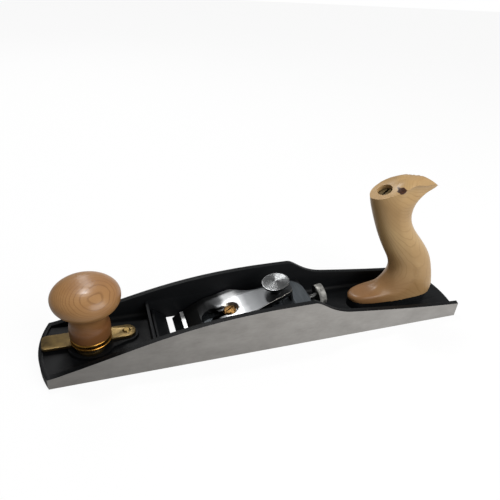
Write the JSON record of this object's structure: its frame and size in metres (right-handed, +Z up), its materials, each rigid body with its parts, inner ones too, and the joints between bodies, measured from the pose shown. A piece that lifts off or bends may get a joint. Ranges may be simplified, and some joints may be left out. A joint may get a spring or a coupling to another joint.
{
  "type": "hand plane",
  "caption": "Low-angle bevel-up bench plane with a sliding toe plate, mouth lever, turned front knob, lever cap, screw depth adjuster and open wooden rear handle.",
  "frame": {"origin": "on the sole, at the middle of the body's length and width", "axes": "+X from the toe to the heel, +Z up from the sole, +Y to the side away from the picture's viewer"},
  "size_m": [0.3544, 0.062, 0.1257],
  "materials": {
    "body_casting": "black enamel inside, ground bright outside",
    "brass_pin": "turned",
    "ground_iron": "ground",
    "pale_wood": "clear satin varnish over a pale close-grained wood",
    "brass_ferrule": "polished",
    "brass_insert": "turned",
    "stud_steel": "turned",
    "washer_steel": "plain",
    "brass_lever": "satin",
    "tool_steel": "fine ground",
    "rod_steel": "threaded",
    "collar_steel": "turned",
    "wheel_steel": "fluted rim",
    "cap_steel": "satin",
    "brass_screw": "turned, with a driver slot",
    "clamp_steel": "turned, with a fluted rim",
    "nut_steel": "turned, with a driver slot"
  },
  "bodies": {
    "base": {"plane_body": "body_casting", "lever_pivot_pin": "brass_pin", "tote": "pale_wood", "tote_rod": "stud_steel", "tote_nut": "nut_steel", "tote_washer": "washer_steel"},
    "sliding_toe": {"toe_plate": "ground_iron"},
    "knob": {"front_knob": "pale_wood", "knob_ferrule": "brass_ferrule", "knob_insert": "brass_insert", "knob_stud": "stud_steel", "knob_washer": "washer_steel"},
    "lever": {"mouth_lever": "brass_lever"},
    "cutter": {"iron": "tool_steel"},
    "adjuster": {"adjuster_rod": "rod_steel", "adjuster_collar": "collar_steel", "adjuster_wheel": "wheel_steel"},
    "cap": {"lever_cap": "cap_steel"},
    "cap_screw": {"lever_cap_screw": "brass_screw"},
    "clamp": {"clamp_screw": "clamp_steel"}
  },
  "joints": [
    {"name": "mouth_slide", "type": "slide", "parent": "base", "child": "sliding_toe", "axis": [1, 0, 0], "range_m": [-0.002, 0.003]},
    {"name": "mouth_lever_turn", "type": "hinge", "parent": "base", "child": "lever", "pos_m": [-0.11325, 0.0048, 0.0106], "axis": [0, 0, 1], "range_deg": [-10.05, 15.05]},
    {"name": "knob_turn", "type": "hinge", "parent": "sliding_toe", "child": "knob", "pos_m": [-0.13935, 0, 0.0134], "axis": [0, 0, 1], "range_deg": [0, 360]},
    {"name": "adjuster_turn", "type": "hinge", "parent": "cutter", "child": "adjuster", "pos_m": [0.04857, 0, 0.02247], "axis": [-0.9781, 0, -0.2079], "range_deg": [-1802, 362]},
    {"name": "iron_feed", "type": "slide", "parent": "base", "child": "cutter", "axis": [-0.9781, 0, -0.2079], "range_m": [-0.005, 0.001]},
    {"name": "cap_slide", "type": "slide", "parent": "base", "child": "cap", "axis": [0.9781, 0, 0.2079], "range_m": [0, 0.016]},
    {"name": "cap_screw_turn", "type": "hinge", "parent": "base", "child": "cap_screw", "pos_m": [-0.02945, 0, 0.00956], "axis": [-0.2079, 0, 0.9781], "range_deg": [-90, 180]},
    {"name": "clamp_turn", "type": "hinge", "parent": "cap", "child": "clamp", "pos_m": [0.01104, 0, 0.01817], "axis": [-0.2079, 0, 0.9781], "range_deg": [0, 360]}
  ],
  "couplings": [
    {"joint": "mouth_lever_turn", "follows": "mouth_slide", "rad_per_m": 87.266},
    {"joint": "adjuster_turn", "follows": "iron_feed", "rad_per_m": 6283.2}
  ]
}
